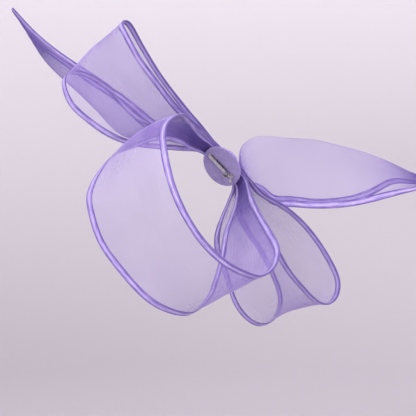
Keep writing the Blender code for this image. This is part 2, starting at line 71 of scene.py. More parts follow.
def surface(name, grid, uv, wrap=False, wrapRows=False, capped=False):
    # quads over a grid of points, or over each grid of a stack; wrap joins the last column to the first,
    # wrapRows the last row to the first, and capped closes the first and last rows with a face each
    stack = grid if grid.ndim == 4 else grid[None]
    count, rows, columns = stack.shape[:3]
    i, j = np.meshgrid(
        np.arange(rows if wrapRows else rows - 1), np.arange(columns if wrap else columns - 1), indexing="ij"
    )
    nextRow, nextColumn = (i + 1) % rows, (j + 1) % columns
    quads = np.stack(
        [i * columns + j, i * columns + nextColumn, nextRow * columns + nextColumn, nextRow * columns + j], -1
    ).reshape(-1, 4)
    loopUv = np.stack([uv[i, j], uv[i, j + 1], uv[i + 1, j + 1], uv[i + 1, j]], 2).reshape(-1, 2)
    faces = quads.tolist()
    if capped:
        faces += [list(range(columns))[::-1], list(range((rows - 1) * columns, rows * columns))]
        loopUv = np.vstack([loopUv, uv[0, :columns][::-1], uv[-1, :columns]])
    faces = [[v + k * rows * columns for v in face] for k in range(count) for face in faces]
    mesh = bpy.data.meshes.new(name)
    mesh.from_pydata((stack.reshape(-1, 3) * mm).tolist(), [], faces)
    layer = mesh.uv_layers.new(name="cloth")
    layer.data.foreach_set("uv", (np.tile(loopUv, (count, 1)) * mm).astype(np.float32).ravel())
    mesh.polygons.foreach_set("use_smooth", np.ones(len(mesh.polygons), dtype=bool))
    if wrap and (capped or wrapRows):
        work = bmesh.new()
        work.from_mesh(mesh)
        bmesh.ops.recalc_face_normals(work, faces=work.faces)
        work.to_mesh(mesh)
        work.free()
    made = bpy.data.objects.new(name, mesh)
    bpy.context.scene.collection.objects.link(made)
    return made


def giveAttribute(piece, name, values):  # one number for each point
    layer = piece.data.attributes.new(name, "FLOAT", "POINT")
    layer.data.foreach_set("value", values.astype(np.float32).ravel())


def standFor(piece, node, material):  # the finished piece takes the place of a plain one
    piece.data.materials.append(material)
    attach(piece, bodyName)
    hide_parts(node)
    return piece


# ---- the base's own directions ----

baseLie = {"tilt": 28.0, "knotTurn": 0.6}  # degrees above level, and the sine of the knot's turn
tilt = math.radians(baseLie["tilt"])
outward = np.array([0.0, math.cos(tilt), math.sin(tilt)])
upHead = np.array([0.0, -math.sin(tilt), math.cos(tilt)])
along = math.sqrt(1 - baseLie["knotTurn"] ** 2) * upHead - baseLie["knotTurn"] * np.array([1.0, 0, 0])
across = np.cross(outward, along)


def nearBase(a, b, c):  # a point from distances along the knot, across it and out from the head
    return tuple(a * along + b * across + c * outward)


def inBase(points):  # the same for whole arrays of points
    return points @ np.array([along, across, outward])


# ---- the ribbons' shapes ----

ribbonCut = {
    "width": 150.0,
    "bindingWidth": 9.0,
    "narrowBinding": 4.0,  # where the cloth is too crowded for a full one
    "bindingShare": 0.2,  # most of the width that one binding may take
    "chordShare": 0.25,
    "gatherHalf": 12.0,  # half the width of an end inside the knot
    "gatherPlaces": (1.5, 10.0, 19.0),
    "firstLayer": 6.8,  # height of the lowest end over the felt's face
    "layerStep": 2.8,
    "heldFor": (15, 35),  # lengths over which the easing comes in from each end
}


def gatheredEnd(side, layer, inwards):  # three cross-threads where an end is held flat inside the knot
    height = ribbonCut["firstLayer"] + layer * ribbonCut["layerStep"]
    half = ribbonCut["gatherHalf"]
    places = ribbonCut["gatherPlaces"][:: -1 if inwards else 1]
    return [(nearBase(side * p, -half, height), nearBase(side * p, half, height)) for p in places]


# each row is a cross-thread: right edge, left edge and, where the cloth is folded or billows,
# how far its middle stands off the straight line between them
loopFront = gatheredEnd(1, 0, False) + [
    (nearBase(33, -14, 6.5), nearBase(33, 14, 6.5)),
    (nearBase(50, -14, -5), nearBase(50, 21, -4)),
    ((-45, -46, 34), (-5, -57, 60), (-1, 0, 2)),
    ((-55, -79, 35), (7, -91, 68), (-4, -2, 8)),
    ((-64, -109, 25), (17, -124, 61), (-5, -5, 9)),
    ((-75, -143, 12), (24, -149, 43), (-4, -7, 7)),
    ((-80, -187, -37), (56, -174, -17), (0, -3, 1)),
    ((-72, -191, -71), (76, -177, -54)),
    ((-56, -188, -108), (94, -170, -86)),
    ((-26, -180, -145), (107, -160, -106)),
    ((5, -163, -180), (121, -147, -123)),
    ((28, -138, -196), (135, -128, -136)),
    ((36, -114, -197), (144, -106, -143)),
    ((38, -84, -179), (146, -77, -132)),
    ((31, -60, -159), (132, -47, -111)),
    ((20, -30, -127), (102, -22, -89)),
    ((10, -7, -92), (69, -4, -62)),
    (nearBase(-50, -26, -9), nearBase(-54, 14, -7)),
    (nearBase(-34, -14, 6.2), nearBase(-34, 14, 6.5)),
] + gatheredEnd(-1, 0, True)

loopUpper = gatheredEnd(1, 1, False) + [
    (nearBase(34, -14, 9.4), nearBase(34, 14, 10.2)),
    ((-62, -20, 24), (-15, -22, 52)),
    ((-107, -65, 30), (-16, -41, 62)),
    ((-134, -90, 43), (-20, -74, 84)),
    ((-164, -105, 66), (-30, -107, 119)),
    ((-186, -114, 88), (-42, -124, 146)),
    ((-201, -114, 115), (-58, -132, 178)),
    ((-208, -104, 132), (-71, -128, 195), (0, 0, 2)),
    ((-208, -87, 138), (-75, -108, 198), (-2, -1, 5)),
    ((-195, -68, 133), (-73, -84, 170), (-2, 0, 4)),
    ((-169, -48, 112), (-58, -61, 128)),
    ((-138, -39, 89), (-38, -32, 85)),
    (nearBase(92, -38, 4), nearBase(64, 20, 12)),
    (nearBase(46, -17, 12), nearBase(44, 15, 14)),
] + gatheredEnd(1, 2, True)

loopLower = gatheredEnd(-1, 1, False) + [
    (nearBase(-29, -20, 9.8), nearBase(-31, 12, 9.9)),
    (nearBase(-38, -47, 7), nearBase(-40, 8, 10)),
    ((-41, 36, -102), (40, 23, -47)),
    ((-43, 68, -166), (75, 34, -116)),
    ((-37, 80, -202), (89, 44, -146)),
    ((-26, 97, -226), (102, 62, -171), (0, 0, 4)),
    ((-15, 115, -235), (109, 85, -190), (-1, 0, 6)),
    ((-8, 136, -228), (115, 105, -194), (-1, -1, 6)),
    ((-7, 152, -204), (118, 123, -181), (0, -1, 3)),
    ((-15, 156, -179), (113, 132, -157)),
    ((-31, 133, -123), (79, 115, -92)),
    ((-35, 110, -99), (56, 89, -59)),
    ((-30, 75, -67), (33, 59, -37)),
    (nearBase(-36, -32, 17), nearBase(-38, 8, 16.5)),
] + gatheredEnd(-1, 2, True)

tailLeft = gatheredEnd(1, 3, False) + [
    (nearBase(34, -15, 17.5), nearBase(34, 9, 19)),
    (nearBase(54, -24, 22), nearBase(52, 4, 23), nearBase(0, 1, -3)),
    (nearBase(84, -44, 33), nearBase(83, -14, 26), nearBase(1, -3, -12)),
    ((-143, 15, 65), (-131, -14, 74), (-22, -20, -24)),
    ((-200, 3, 114), (-186, -28, 124), (-27, -16, -27)),
    ((-226, -12, 133), (-212, -41, 144), (-24, -14, -22)),
    ((-265, -52, 169), (-251, -69, 176), (-18, -12, -11)),
    ((-288, -79, 196), (-271, -96, 202), (-7, -6, -6)),
    ((-306, -110, 237), (-290, -128, 238), (-1, -1, -3)),
]

tailRight = gatheredEnd(-1, 3, False) + [
    (nearBase(-29, -15, 19), nearBase(-30, 8, 18.5), nearBase(3, 0, 2)),
    ((3, 51, -30), (23, 35, -20), (-14, 2, 33)),
    ((2, 71, -26), (18, 53, -34), (-22, 1, 62)),
    ((6, 89, -33), (26, 67, -44), (-22, 5, 84)),
    ((14, 106, -46), (30, 86, -54), (-13, -5, 98)),
    ((31, 141, -51), (54, 106, -57), (-5, -4, 99)),
    ((57, 169, -54), (80, 131, -59), (-5, -4, 100)),
    ((86, 192, -51), (108, 155, -57), (-5, -4, 89)),
    ((119, 212, -40), (137, 181, -50), (-5, -4, 68)),
    ((150, 226, -22), (166, 203, -40), (-3, -3, 38)),
    ((180, 237, -23), (191, 222, -32), (-1, -1, 19)),
    ((209, 257, -20), (217, 241, -23), (-1, -1, 10)),
]


def throughPoints(points, places, wanted):
    # cubic pieces through the points, each slope taken from its two neighbours
    gaps = np.diff(places)[:, None]
    steps = np.diff(points, axis=0) / gaps
    inner = (steps[:-1] * gaps[1:] + steps[1:] * gaps[:-1]) / (gaps[1:] + gaps[:-1])
    slopes = np.vstack([steps[:1], inner, steps[-1:]])
    k = np.clip(np.searchsorted(places, wanted, side="right") - 1, 0, len(gaps) - 1)
    gap = gaps[k]
    t = (wanted[:, None] - places[k][:, None]) / gap
    ends = points[k] * (1 + 2 * t) * (1 - t) ** 2 + points[k + 1] * t**2 * (3 - 2 * t)
    return ends + slopes[k] * gap * t * (1 - t) ** 2 - slopes[k + 1] * gap * t**2 * (1 - t)


def section(right, left, fold, share):  # straight line between the edges plus a parabola for the fold
    return right + (left - right) * share + fold * 4 * share * (1 - share)


def edgeFrame(edge, beside, flip):
    # into the cloth square to the edge, and the cloth's normal there
    run = unit(np.gradient(edge, axis=0))
    into = beside - edge
    into = unit(into - run * (into * run).sum(1, keepdims=True))
    normal = np.cross(run, into)
    return into, -normal if flip else normal


def ribbonLines(threads, spacing, ease):
    # edges, fold and directions at evenly spaced stations along one ribbon, kinks eased out
    filled = [(*t, (0, 0, 0))[:3] for t in threads]
    lines = np.array(filled, float).transpose(1, 0, 2)
    middle = (lines[0] + lines[1]) / 2
    gaps = np.linalg.norm(np.diff(middle, axis=0), axis=1)
    places = np.concatenate([[0], np.cumsum(gaps**0.5)])
    fine = np.linspace(0, places[-1], 2000)
    fineLines = [throughPoints(line, places, fine) for line in lines]
    run = sum(np.linalg.norm(np.diff(line, axis=0), axis=1) for line in fineLines[:2]) / 2
    length = np.concatenate([[0], np.cumsum(run)])
    wanted = np.linspace(0, length[-1], int(length[-1] / spacing) + 1)
    right, left, fold = (
        np.column_stack([np.interp(wanted, length, line[:, k]) for k in range(3)]) for line in fineLines
    )
    fromEnd = np.minimum(wanted, length[-1] - wanted)
    hold = smoothStep(fromEnd, *ribbonCut["heldFor"])[:, None]  # ends stay as they are
    right, left, fold = (v + (softened(v, ease / spacing) - v) * hold for v in (right, left, fold))
    beside, turnEase = 0.25, 4  # share of the width that shows the cloth's lie, and mm to ease its turning
    made = {"right": right, "left": left, "fold": fold}
    for side, flip in (("right", False), ("left", True)):
        share = beside if side == "right" else 1 - beside
        into, normal = edgeFrame(made[side], section(right, left, fold, share), flip)
        made["into" + side] = unit(softened(into, turnEase / spacing))
        made["normal" + side] = unit(softened(normal, turnEase / spacing))
        step = np.linalg.norm(np.diff(made[side], axis=0), axis=1)
        made["run" + side] = np.concatenate([[0], np.cumsum(step)])
    chord = left - right
    folded = 2 * np.linalg.norm(fold, axis=1)
    made["squareright"] = np.maximum((chord * made["intoright"]).sum(1), 0) + folded
    made["squareleft"] = np.maximum(-(chord * made["intoleft"]).sum(1), 0) + folded
    fitting = np.minimum(
        ribbonCut["bindingShare"] * np.minimum(made["squareright"], made["squareleft"]),
        ribbonCut["chordShare"] * np.linalg.norm(chord, axis=1),
    )
    made["binding"] = np.clip(fitting, ribbonCut["narrowBinding"], ribbonCut["bindingWidth"])
    made["run"] = wanted
    made["length"] = length[-1]
    return made


# ---- organza sheets ----

organzaShape = {
    "columns": 46,
    "edgeCrowding": 0.06,  # columns stand closer together towards the edges
    "tuck": 0.7,  # how far the cloth goes in under the hem
    "straightFor": 1.7,  # widths of the binding over which it leaves the binding's direction
    "pleats": 7,
    "pleatWander": 0.15,
    "neckPleat": 0.7,
    "fanPleat": 2.4,
    "fanGrows": (20, 42),
    "fanReach": (26, 95),
    "pucker": 0.35,
    "puckerStep": 3.1,
    "puckerReach": 12,
    "drift": 1.0,
    "driftStep": 34,
    "driftGrows": (40, 120),
    "narrowest": 12,
    "layers": (0.75, 4.5),  # fewest and most that the material shows
}


def clothWidth(grid):  # width of the cloth at each station, along the surface
    return np.linalg.norm(np.diff(grid, axis=1), axis=2).sum(1)


def gridNormals(grid):  # square to both directions of the grid
    return unit(np.cross(np.gradient(grid, axis=0), np.gradient(grid, axis=1)))


def organzaSheet(name, lines, ends, seed):
    # across: straight inside both bindings and the folded section between them;
    # along: pleats that fan out of the knot, small puckers at the bindings and a slow drift
    shape = organzaShape
    hidden = lines["binding"] * (1 - shape["tuck"] / ribbonCut["bindingWidth"])
    start, stop = hidden / lines["squareright"], 1 - hidden / lines["squareleft"]
    k = np.linspace(0, 1, shape["columns"])
    k = k - shape["edgeCrowding"] * np.sin(2 * np.pi * k)
    share = start[:, None] * (1 - k) + stop[:, None] * k
    right, left, fold, binding = (lines[key][:, None] for key in ("right", "left", "fold", "binding"))
    grid = section(right, left, fold, share[..., None])
    for side, fromSide in (("right", share), ("left", 1 - share)):
        depth = fromSide * lines["square" + side][:, None]
        straight = lines[side][:, None] + lines["into" + side][:, None] * depth[..., None]
        near = 1 - smoothStep(depth, binding, binding * shape["straightFor"])
        grid = grid + (straight - grid) * near[..., None]
    width = clothWidth(grid)
    u, v = np.broadcast_arrays(k[None, :], lines["run"][:, None])
    inside = np.sin(np.pi * u)
    fromKnot = lines["run"] if ends == 1 else np.minimum(lines["run"], lines["length"] - lines["run"])
    growth = shape["fanPleat"] - shape["neckPleat"]
    fan = shape["neckPleat"] + growth * smoothStep(fromKnot, *shape["fanGrows"])
    fan = fan * (1 - smoothStep(fromKnot, *shape["fanReach"]))
    place = shape["pleats"] * u + shape["pleatWander"] * np.sin(9 * u + seed)
    pleats = np.sin(2 * np.pi * place) * fan[:, None]
    edgeward = np.exp(-np.minimum(u, 1 - u) * width[:, None] / shape["puckerReach"])
    pucker = np.sin(v / shape["puckerStep"] + 1.3 * np.sin(v / 17 + seed)) * edgeward
    pucker = shape["pucker"] * pucker * np.minimum(1, inside * 6)
    drift = np.sin(v / shape["driftStep"] + 3 * u + seed) * np.sin(2.2 * np.pi * u + v / 70 + seed)
    drift = shape["drift"] * drift * smoothStep(fromKnot, *shape["driftGrows"])[:, None]
    offset = pleats * inside**0.5 + drift * inside + pucker
    grid = grid + gridNormals(grid) * offset[..., None]
    flatWidth = ribbonCut["width"] - 2 * ribbonCut["bindingWidth"]
    piece = surface(name, grid, np.stack([(u - 0.5) * flatWidth, v], -1))
    crowding = np.clip(flatWidth / np.maximum(width, shape["narrowest"]), *shape["layers"])
    giveAttribute(piece, "crowding", np.repeat(crowding, shape["columns"]))
    diagonals = grid[1:, 1:] - grid[:-1, :-1], grid[1:, :-1] - grid[:-1, 1:]
    area = 0.5 * np.linalg.norm(np.cross(*diagonals), axis=-1).sum()
    return piece, area


# ---- bindings ----

bindingShape = {
    # depth from the edge and half thickness: the bead over the wire, the flat face and the stitched hem
    "profile": (
        (0, 0), (0.1, 0.45), (0.45, 0.85), (1.2, 1.05), (2.1, 0.95), (3.2, 0.72), (4.6, 0.66),
        (6.2, 0.68), (7.6, 0.72), (8.6, 0.7), (9.3, 0.55), (9.9, 0.25), (10.05, 0),
    ),
    "crease": 0.05,
    "creaseStep": 7.5,
    "creaseSlant": 0.9,
    "hemFrom": (6, 9),
    "hemWander": ((0.16, 9.3, 1), (0.08, 3.7, 2)),  # height, step and share of the seed of each wave
    "leastThick": 0.6,  # share of the thickness that a strip of no width would keep
}


def bindingStrip(name, lines, side, seed):
    # a strip folded over the edge: the profile carried along the edge, with slanting creases
    shape = bindingShape
    half = np.array(shape["profile"])
    depth = np.concatenate([half[:, 0], half[-2:0:-1, 0]])
    rise = np.concatenate([half[:, 1], -half[-2:0:-1, 1]])
    edge, into, normal = lines[side], lines["into" + side], lines["normal" + side]
    run = lines["run" + side]
    scale = lines["binding"] / ribbonCut["bindingWidth"]
    slant = shape["creaseSlant"] * depth / ribbonCut["bindingWidth"] * np.sign(rise + 1e-6)
    turns = run[:, None] / shape["creaseStep"] + slant[None, :]
    wave = np.sin(2 * np.pi * turns + 1.7 * np.sin(run[:, None] / 23 + seed))
    swell = 1 + shape["crease"] * wave * (0.4 + 0.6 * np.sin(run[:, None] / 31 + 2 * seed) ** 2)
    thickness = shape["leastThick"] + (1 - shape["leastThick"]) * scale[:, None]
    hem = sum(size * np.sin(run / step + share * seed) for size, step, share in shape["hemWander"])
    d = (depth[None, :] + hem[:, None] * smoothStep(depth, *shape["hemFrom"])[None, :]) * scale[:, None]
    h = rise[None, :] * thickness * swell
    grid = edge[:, None] + into[:, None] * d[..., None] + normal[:, None] * h[..., None]
    around = np.concatenate([half[:, 0], 2 * half[-1, 0] - half[-2::-1, 0]])
    uv = np.stack(np.broadcast_arrays(around[None, :], run[:, None]), -1)
    return surface(name, grid, uv, wrap=True, capped=True)


# ---- materials ----


def give(tree, node, values):
    # settings, input values and links of one node; a node given as a value stands for its first output
    for key, value in values.items():
        source = value.outputs[0] if isinstance(value, bpy.types.Node) else value
        if key == "stops":  # a colour ramp's places and colours
            stops = node.color_ramp.elements
            while len(stops) < len(value):
                stops.new(0.5)
            for stop, (place, tint) in zip(stops, value):
                stop.position, stop.color = place, tint
        elif isinstance(source, bpy.types.NodeSocket):
            tree.links.new(source, node.inputs[key])
        elif isinstance(key, int) or key in node.inputs:
            node.inputs[key].default_value = value
        else:
            setattr(node, key, value)


def addNode(tree, kind, values, *feeds):  # one node, its values, and what goes into its inputs in their order
    node = tree.nodes.new("ShaderNode" + kind)
    give(tree, node, values)
    give(tree, node, dict(enumerate(feeds)))
    return node


def newMaterial(name, values):
    made = bpy.data.materials.new(name)
    made.use_nodes = True
    shader = made.node_tree.nodes["Principled BSDF"]
    give(made.node_tree, shader, values)
    return made, made.node_tree, shader


plus, minus, times, over = ({"operation": kind} for kind in ("ADD", "SUBTRACT", "MULTIPLY", "DIVIDE"))
larger, unsigned, below = {"operation": "MAXIMUM"}, {"operation": "ABSOLUTE"}, {"operation": "LESS_THAN"}
waveGap = 0.314  # metres between the bands of a wave texture at scale 1


def organzaMaterial():
    # silk-like organza: stiff sheer plain weave of smooth filaments, so it shows its layers and shines a little
    look = {
        "pale": "#B4A1E0",
        "deep": "#866CC2",
        # colour of the crowded cloth at the knot, darker partly for its many layers and partly as painted shade
        "gathered": "#604B9C",
        "sheen": "#E6DBFF",
        "openWeave": 0.79,  # light that one flat layer lets through
        "threadStep": 1.3,  # mm; the real threads are 0.15 mm apart, drawn coarser to show
        "threadShade": 0.035,
        "streak": 0.07,
        "gatherDepthAndShade": 0.42,
    }
    finish = {"Roughness": 0.42, "Specular IOR Level": 0.35, "Sheen Weight": 0.35, "Sheen Roughness": 0.4}
    made, tree, shader = newMaterial("silkOrganza", finish | {"Sheen Tint": sRgb(look["sheen"])})
    uv = addNode(tree, "UVMap", {"uv_map": "cloth"})
    streakMap = addNode(tree, "Mapping", {"Scale": (620, 16, 1)}, uv)
    streaks = addNode(tree, "TexNoise", {"Scale": 1.0, "Detail": 3.0, "Roughness": 0.6}, streakMap)
    cloudMap = addNode(tree, "Mapping", {"Scale": (22, 14, 1)}, uv)
    clouds = addNode(tree, "TexNoise", {"Scale": 1.0, "Detail": 2.0}, cloudMap)
    threads = {"Scale": waveGap / (look["threadStep"] * mm), "Distortion": 0.6, "Detail": 1.0}
    warp = addNode(tree, "TexWave", {"bands_direction": "X"} | threads, uv)
    weft = addNode(tree, "TexWave", {"bands_direction": "Y"} | threads, uv)
    weave = addNode(tree, "Math", larger, warp, weft)
    # light gets through one open layer, to the power of how many layers lie on the line of sight
    crowding = addNode(tree, "Attribute", {"attribute_name": "crowding"}).outputs["Fac"]
    facing = addNode(tree, "LayerWeight", {"Blend": 0.5}).outputs["Facing"]
    straightOn = addNode(tree, "Math", larger, addNode(tree, "Math", minus, 1.0, facing), 0.12)
    layers = addNode(tree, "Math", over, crowding, straightOn)
    streakShade = addNode(tree, "Math", times, streaks, -look["streak"])
    opening = addNode(tree, "Math", plus, streakShade, look["openWeave"] + look["streak"] / 2)
    weaveShade = addNode(tree, "Math", times, weave, look["threadShade"])
    opening = addNode(tree, "Math", minus, opening, weaveShade)
    through = addNode(tree, "Math", {"operation": "POWER"}, opening, layers)
    alpha = addNode(tree, "Math", minus, 1.0, through)
    streakTone = addNode(tree, "Math", times, streaks, 0.55)
    tone = addNode(tree, "Math", plus, streakTone, addNode(tree, "Math", times, clouds, 0.45))
    stops = [(0.35, sRgb(look["deep"])), (0.65, sRgb(look["pale"]))]
    flatColour = addNode(tree, "ValToRGB", {"stops": stops}, tone)
    # gathered cloth lies many layers deep and takes a fuller colour; the same darkening near the knot is also
    # painted shade
    extraLayers = addNode(tree, "Math", minus, crowding, 1.0)
    gathered = addNode(tree, "Math", times | {"use_clamp": True}, extraLayers, look["gatherDepthAndShade"])
    mixing = {"data_type": "RGBA", 0: gathered, 6: flatColour, 7: sRgb(look["gathered"])}
    colour = addNode(tree, "Mix", mixing).outputs[2]
    bump = addNode(tree, "Bump", {"Strength": 0.25, "Distance": 0.0004, "Height": weave})
    give(tree, shader, {"Alpha": alpha, "Base Color": colour, "Normal": bump})
    return made


def satinMaterial(name, look):
    # satin-faced cloth: smooth bright face, fine slubs along the threads, slanting pull creases; the creases
    # also carry painted shade in their folds and a painted highlight on their ridges
    finish = {"Roughness": 0.48, "Specular IOR Level": 0.35, "Sheen Weight": 0.3, "Sheen Roughness": 0.35}
    made, tree, shader = newMaterial(name, finish | {"Sheen Tint": sRgb("#E2D6FF")})
    uv = addNode(tree, "UVMap", {"uv_map": "cloth"})
    creaseMap = addNode(tree, "Mapping", {"Scale": (230, 70, 1), "Rotation": (0, 0, 0.7)}, uv)
    creases = addNode(tree, "TexNoise", {"Scale": 1.0, "Detail": 4.0, "Roughness": 0.55}, creaseMap)
    slubMap = addNode(tree, "Mapping", {"Scale": (*look["streaks"], 1)}, uv)
    slubs = addNode(tree, "TexNoise", {"Scale": 1.0, "Detail": 2.0}, slubMap)
    # painted shade and highlight: the crease pattern darkens and lightens the colour; the slubs are the cloth's
    # own uneven tone
    paintedCreaseShade, creaseHeight = (addNode(tree, "Math", times, creases, share) for share in (0.35, 0.5))
    slubTone, slubHeight = (addNode(tree, "Math", times, slubs, share) for share in (0.65, 0.5))
    tone = addNode(tree, "Math", plus, paintedCreaseShade, slubTone)
    height = addNode(tree, "Math", plus, creaseHeight, slubHeight)
    if "hem" in look:  # painted shade: lighter along the middle of each face, darker towards the fold and the hem; and a row of stitches on the hem
        parts = addNode(tree, "SeparateXYZ", {}, uv)
        middle = look["middle"] * mm
        halfBinding = ribbonCut["bindingWidth"] / 2 * mm
        fromTurn = addNode(tree, "Math", minus, parts.outputs["X"], middle)
        fromTurn = addNode(tree, "Math", unsigned, fromTurn)
        fromHem = addNode(tree, "Math", minus, fromTurn, (look["middle"] - look["hem"]) * mm)
        fromHem = addNode(tree, "Math", unsigned, fromHem)
        fromCentre = addNode(tree, "Math", minus, fromTurn, middle / 2)
        fromCentre = addNode(tree, "Math", unsigned, fromCentre)
        paintedEdgeShade = addNode(tree, "Math", times, fromCentre, look["paintedEdgeShade"] / halfBinding)
        tone = addNode(tree, "Math", minus, tone, paintedEdgeShade)
        tone = addNode(tree, "Math", plus, tone, look["paintedEdgeShade"] * 0.4)
        onHem = addNode(tree, "Math", below, fromHem, look["threadHalf"] * mm)
        beat = addNode(tree, "Math", over, parts.outputs["Y"], look["stitchStep"] * mm)
        beat = addNode(tree, "Math", {"operation": "FRACT"}, beat)
        stitch = addNode(tree, "Math", times, onHem, addNode(tree, "Math", below, beat, 0.7))
        height = addNode(tree, "Math", minus, height, addNode(tree, "Math", times, stitch, 0.5))
    stops = [(0.34, sRgb(look["deep"])), (0.5, sRgb(look["mid"])), (0.66, sRgb(look["pale"]))]
    colour = addNode(tree, "ValToRGB", {"stops": stops}, tone)
    bump = addNode(tree, "Bump", {"Strength": 0.5, "Distance": 0.0005, "Height": height})
    give(tree, shader, {"Base Color": colour, "Normal": bump})
    return made


def feltMaterial():
    # pressed wool felt: matt, slightly mottled, with short fibres lying every way
    finish = {"Roughness": 0.95, "Specular IOR Level": 0.15, "Sheen Weight": 0.6, "Sheen Roughness": 0.6}
    made, tree, shader = newMaterial("woolFelt", finish)
    place = addNode(tree, "TexCoord", {}).outputs["Object"]
    fibres = {"Scale": 1400.0, "Detail": 6.0, "Roughness": 0.75, "Distortion": 2.5}  # about 0.7 mm apart
    fibre = addNode(tree, "TexNoise", fibres, place)
    mottle = addNode(tree, "TexNoise", {"Scale": 140.0, "Detail": 3.0}, place)
    fibreTone = addNode(tree, "Math", times, fibre, 0.6)
    tone = addNode(tree, "Math", plus, fibreTone, addNode(tree, "Math", times, mottle, 0.4))
    stops = [(0.36, sRgb("#7E6CA8")), (0.64, sRgb("#A797CC"))]
    colour = addNode(tree, "ValToRGB", {"stops": stops}, tone)
    bump = addNode(tree, "Bump", {"Strength": 0.9, "Distance": 0.0008, "Height": fibre})
    give(tree, shader, {"Base Color": colour, "Normal": bump})
    return made


def threadMaterial():
    # three-ply sewing thread: the plies show as fine slanting ridges, about 0.5 mm apart
    finish = {"Roughness": 0.6, "Specular IOR Level": 0.3, "Sheen Weight": 0.3}
    made, tree, shader = newMaterial("spunThread", finish)
    place = addNode(tree, "TexCoord", {}).outputs["Object"]
    slant = addNode(tree, "Mapping", {"Rotation": (0.6, 0.5, 0.4)}, place)
    plies = addNode(tree, "TexWave", {"Scale": 620.0, "Distortion": 1.5, "Detail": 2.0}, slant)
    stops = [(0.0, sRgb("#8F7BC4")), (1.0, sRgb("#C6B8EE"))]
    colour = addNode(tree, "ValToRGB", {"stops": stops}, plies)
    bump = addNode(tree, "Bump", {"Strength": 0.7, "Distance": 0.0002, "Height": plies})
    give(tree, shader, {"Base Color": colour, "Normal": bump})
    return made


def metalMaterial(name, tint, roughness, wear):
    # drawn or plated steel: fine lengthwise brushing, duller patches where it is handled
    made, tree, shader = newMaterial(name, {"Metallic": 1.0})
    place = addNode(tree, "TexCoord", {}).outputs["Object"]
    brushMap = addNode(tree, "Mapping", {"Scale": (400, 2600, 700)}, place)
    brushing = addNode(tree, "TexNoise", {"Scale": 1.0, "Detail": 3.0}, brushMap)
    patches = addNode(tree, "TexNoise", {"Scale": 260.0, "Detail": 4.0}, place)
    brushTone = addNode(tree, "Math", times, brushing, 0.5)
    tone = addNode(tree, "Math", plus, brushTone, addNode(tree, "Math", times, patches, 0.5))
    bright = sRgb(tint)
    dull = [c * (1 - 0.35 * wear) for c in bright[:3]] + [1.0]
    colour = addNode(tree, "ValToRGB", {"stops": [(0.3, dull), (0.62, bright)]}, tone)
    toneRoughness = addNode(tree, "Math", times, tone, 0.25)
    rough = addNode(tree, "Math", plus, toneRoughness, roughness - 0.1)
    bump = addNode(tree, "Bump", {"Strength": 0.25, "Distance": 0.0001, "Height": brushing})
    give(tree, shader, {"Base Color": colour, "Roughness": rough, "Normal": bump})
    return made


def buckramMaterial():
    # stiffened open-weave cotton: coarse square weave of threads 1.1 mm apart, glazed with size
    made, tree, shader = newMaterial("sizedCottonBuckram", {"Roughness": 0.8, "Specular IOR Level": 0.3})
    place = addNode(tree, "TexCoord", {}).outputs["Object"]
    threads = {"Scale": waveGap / (1.1 * mm), "Distortion": 0.8}
    warp = addNode(tree, "TexWave", {"bands_direction": "X"} | threads, place)
    weft = addNode(tree, "TexWave", {"bands_direction": "Z"} | threads, place)
    weave = addNode(tree, "Math", larger, warp, weft)
    stops = [(0.0, sRgb("#9C968C")), (1.0, sRgb("#DAD4C8"))]
    colour = addNode(tree, "ValToRGB", {"stops": stops}, weave)
    bump = addNode(tree, "Bump", {"Strength": 0.8, "Distance": 0.0004, "Height": weave})
    give(tree, shader, {"Base Color": colour, "Normal": bump})
    return made


organza = organzaMaterial()
bindingLook = {
    "pale": "#CBBDE9",
    "mid": "#9C8ACB",
    "deep": "#69569F",
    "streaks": (1300, 24),
    "middle": 10.05,  # mm from the bound edge to where the strip turns back
    "hem": 8.6,
    # strength of the painted shade towards the binding's fold and hem
    "paintedEdgeShade": 0.3,
    "stitchStep": 2.6,
    "threadHalf": 0.24,
}
binding = satinMaterial("biasSatin", bindingLook)

# ---- making the ribbons ----

ribbons = {
    "loop_front": {"threads": loopFront, "ends": 2, "ease": 5.0, "held": "gathered"},
    "loop_upper": {"threads": loopUpper, "ends": 2, "ease": 5.0, "held": "gathered"},
    "loop_lower": {"threads": loopLower, "ends": 2, "ease": 5.0, "held": "gathered"},
    "tail_left": {"threads": tailLeft, "ends": 1, "ease": 6.0, "held": "folded"},
    "tail_right": {"threads": tailRight, "ends": 1, "ease": 6.0, "held": "folded"},
}
stationStep = 2.0

for seed, (name, plan) in enumerate(ribbons.items()):
    lines = ribbonLines(plan["threads"], stationStep, plan["ease"])
    sheetPiece, area = organzaSheet(name + "_organza", lines, plan["ends"], seed)
    standFor(sheetPiece, name + "_panel", organza)
    for side in ("right", "left"):
        strip = bindingStrip(f"{name}_{side}_strip", lines, side, seed + (side == "left") * 0.5)
        standFor(strip, f"{name}_{side}_binding", binding)

# ---- knot ----

knotShape = {
    "length": 18.0,
    "halfWidth": 16.0,
    "span": (5.3, 16.8),  # inner faces, outwards from the felt
    "squareness": 4.6,  # power of the superellipse that the cloth is wound round
    "narrowest": 0.62,  # share of the length left on the side that faces the base
    "wall": 1.2,
    "folds": 4.5,
    "foldHeight": 0.9,
    "wander": ((0.35, 1, 1.2), (0.22, 2, 0.4), (0.1, 5, 0)),  # height, count and start of each wave
    "fineFolds": 19,
    "fineHeight": 0.12,
    "swell": 0.7,
    "sag": 1.3,
    "mostInward": 1.35,  # towards the base the cloth is pressed no thicker than this
    "clothRound": (40, 92),  # mm over the wrap's width and round it, for its pattern
}


def roundedBand(angle, halfWidth, low, high):
    # a superellipse round the knot: each reach is (|cos|^p + |sin|^p) to the power of -1/p
    power = knotShape["squareness"]
    c, s = np.cos(angle), np.sin(angle)
    reach = (np.abs(c) ** power + np.abs(s) ** power) ** (-1 / power)
    return reach * c * halfWidth, (low + high) / 2 + reach * s * (high - low) / 2


